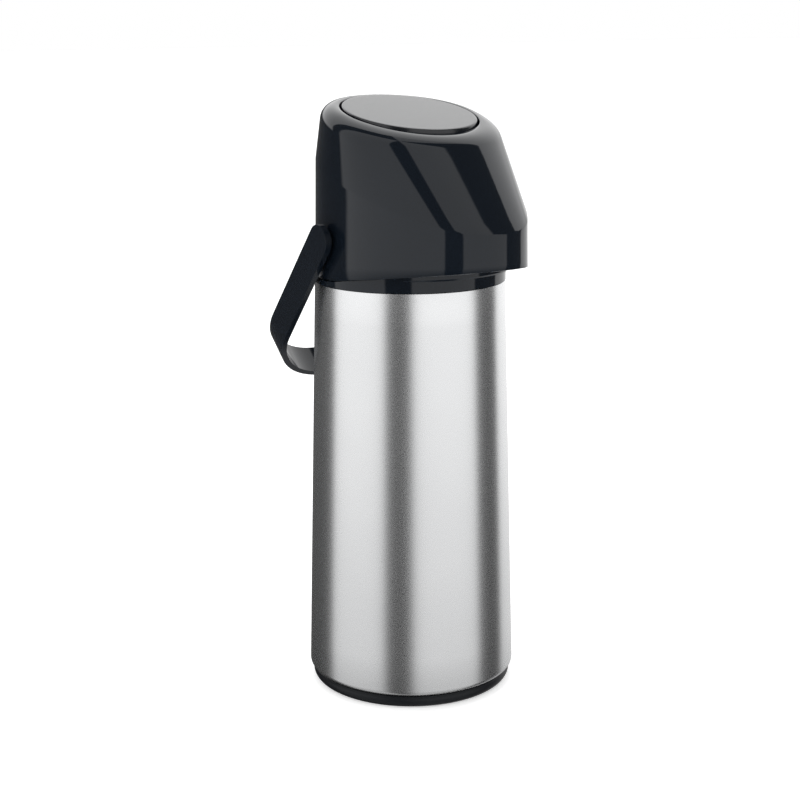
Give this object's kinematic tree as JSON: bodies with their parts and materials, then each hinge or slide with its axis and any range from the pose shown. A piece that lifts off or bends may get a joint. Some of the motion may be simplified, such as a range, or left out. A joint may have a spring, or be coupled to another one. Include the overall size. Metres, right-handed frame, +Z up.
{
  "type": "vacuum pump pot",
  "caption": "Vacuum pump pot for hot drinks: conical steel body, glossy hinged pump head with a sloping push button, under-nose spout and swinging strap handle.",
  "frame": {"origin": "centre of the flat underside, on the flask's axis at the floor", "axes": "+Z up along the flask, -Y towards the spout, +Y towards the head hinge"},
  "size_m": [0.1148, 0.1613, 0.3237],
  "materials": {
    "steel_skin": "fine satin grain, bright",
    "black_gloss": "polished blue-black",
    "black_matte": "fine matte",
    "satin_top": "satin",
    "silvered_glass": "silvered double-walled glass",
    "seal_rubber": "matte",
    "white_plastic": "moulded",
    "pin_steel": "bright drawn"
  },
  "bodies": {
    "flask": {"outer_shell": "steel_skin", "base_ring": "black_matte", "base_cap": "black_matte", "glass_refill": "silvered_glass", "refill_cushion": "seal_rubber", "neck_gasket": "seal_rubber", "stopper_gasket": "seal_rubber", "pipe_gasket": "seal_rubber", "air_gasket": "seal_rubber", "collar": "black_gloss", "hinge_pin": "pin_steel", "stopper": "white_plastic", "dip_tube": "pin_steel"},
    "head": {"hood": "black_gloss", "pump_carrier": "white_plastic", "carrier_screw_1": "pin_steel", "carrier_screw_2": "pin_steel", "carrier_screw_3": "pin_steel", "carrier_screw_4": "pin_steel", "spout_pipe": "white_plastic", "spout_nozzle": "black_matte", "nose_cover": "black_matte", "bellows": "seal_rubber", "pump_spring": "pin_steel", "latch_spring": "pin_steel"},
    "button": {"push_button": "satin_top", "press_plate": "white_plastic", "vent_flap": "seal_rubber"},
    "release_latch": {"latch": "black_gloss"},
    "bail": {"handle": "black_gloss"},
    "ball": {"valve_ball": "pin_steel"}
  },
  "joints": [
    {"name": "head_hinge", "type": "hinge", "parent": "flask", "child": "head", "pos_m": [0, 0.053, 0.2334], "axis": [-1, 0, 0], "range_deg": [0, 85]},
    {"name": "button_press", "type": "slide", "parent": "head", "child": "button", "axis": [0, 0, -1], "range_m": [0, 0.014], "stiffness_N_per_m": 600, "springref_m": -0.01, "deforming": ["bellows", "pump_spring"]},
    {"name": "latch_pull", "type": "hinge", "parent": "head", "child": "release_latch", "pos_m": [0, -0.058, 0.249], "axis": [-1, 0, 0], "range_deg": [0, 7], "stiffness_Nm_per_rad": 0.05, "springref_deg": -9.74},
    {"name": "bail_swing", "type": "hinge", "parent": "flask", "child": "bail", "pos_m": [0, 0, 0.2513], "axis": [1, 0, 0], "range_deg": [-5, 278]},
    {"name": "ball_lift", "type": "slide", "parent": "flask", "child": "ball", "axis": [0, 0, 1], "range_m": [0, 0.0012]}
  ]
}
